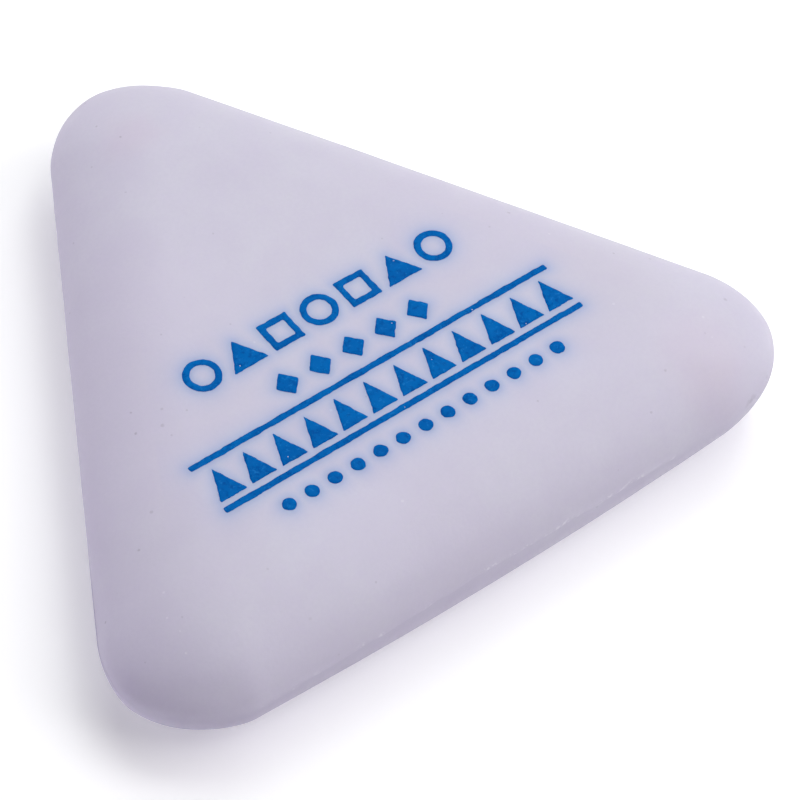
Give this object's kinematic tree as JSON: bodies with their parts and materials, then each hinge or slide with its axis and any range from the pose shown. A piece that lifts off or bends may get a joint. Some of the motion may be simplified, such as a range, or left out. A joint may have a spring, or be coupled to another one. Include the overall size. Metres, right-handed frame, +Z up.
{
  "type": "triangular eraser",
  "caption": "Flat triangular eraser of soft white vinyl with rounded corners, pillowed edges and a blue geometric print on the upper face; rubs out pencil marks.",
  "frame": {"origin": "middle of the flat underside, below the centroid of the triangle", "axes": "+Z up through the printed face, +X along the front side, +Y towards the opposite corner"},
  "size_m": [0.043, 0.0387, 0.0077],
  "materials": {
    "vinyl": "satin, slightly translucent soft vinyl with a powdery skin",
    "ink": "thin matt pad-printed ink"
  },
  "bodies": {
    "root": {"eraser_body": "vinyl", "print_shape_row": "ink", "print_diamond_row": "ink", "print_triangle_band": "ink", "print_dot_row": "ink"}
  },
  "joints": []
}
